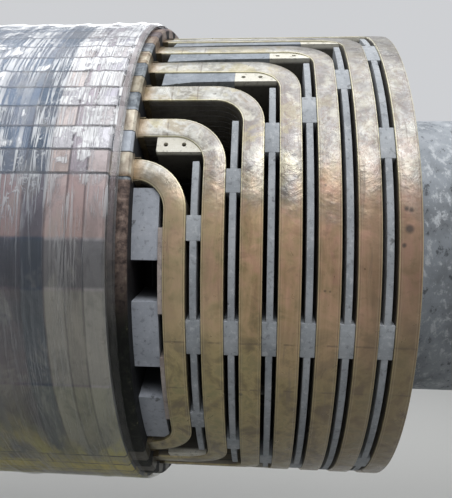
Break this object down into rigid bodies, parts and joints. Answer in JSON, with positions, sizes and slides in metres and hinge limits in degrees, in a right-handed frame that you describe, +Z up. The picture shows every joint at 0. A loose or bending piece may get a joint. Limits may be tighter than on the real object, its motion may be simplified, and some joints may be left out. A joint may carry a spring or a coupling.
{
  "type": "two-pole cylindrical generator rotor",
  "caption": "Two-pole generator rotor with concentric copper coils in a slotted forging, its retaining rings off so that the blocked end windings show, and a flanged shaft.",
  "frame": {"origin": "centre of the coupling flange's outer face, on the rotor's axis", "axes": "+X along the rotor's axis from the coupling towards the far end, +Z up, pole A facing -Y and a little down"},
  "size_m": [6.4, 1.0635, 1.0634],
  "materials": {
    "forged_steel": "oiled forging, lightly rusted",
    "wedge_bronze": "worn bronze slot wedges",
    "liner_laminate": "varnished laminate",
    "copper_strap": "cleaned copper with dull and bright patches",
    "grey_laminate": "sanded grey glass laminate",
    "tan_laminate": "machined tan glass laminate",
    "pale_laminate": "smooth pale grey laminate",
    "cream_liner": "thin pale liner",
    "clear_film": "wrinkled clear plastic film"
  },
  "bodies": {
    "root": {"rotor_forging": "forged_steel", "slot_wedges": "wedge_bronze", "slot_liners": "liner_laminate", "coil_1a": "copper_strap", "coil_2a": "copper_strap", "coil_3a": "copper_strap", "coil_4a": "copper_strap", "coil_5a": "copper_strap", "coil_6a": "copper_strap", "coil_7a": "copper_strap", "coil_1b": "copper_strap", "coil_2b": "copper_strap", "coil_3b": "copper_strap", "coil_4b": "copper_strap", "coil_5b": "copper_strap", "coil_6b": "copper_strap", "coil_7b": "copper_strap", "strips_a_coupling": "grey_laminate", "strips_b_coupling": "grey_laminate", "leg_packers_coupling": "grey_laminate", "drilled_blocks_coupling": "tan_laminate", "pole_blocks_coupling": "pale_laminate", "pole_liners_coupling": "cream_liner", "strips_a_far": "grey_laminate", "strips_b_far": "grey_laminate", "leg_packers_far": "grey_laminate", "drilled_blocks_far": "tan_laminate", "pole_blocks_far": "pale_laminate", "pole_liners_far": "cream_liner", "film_wrap": "clear_film"}
  },
  "joints": []
}
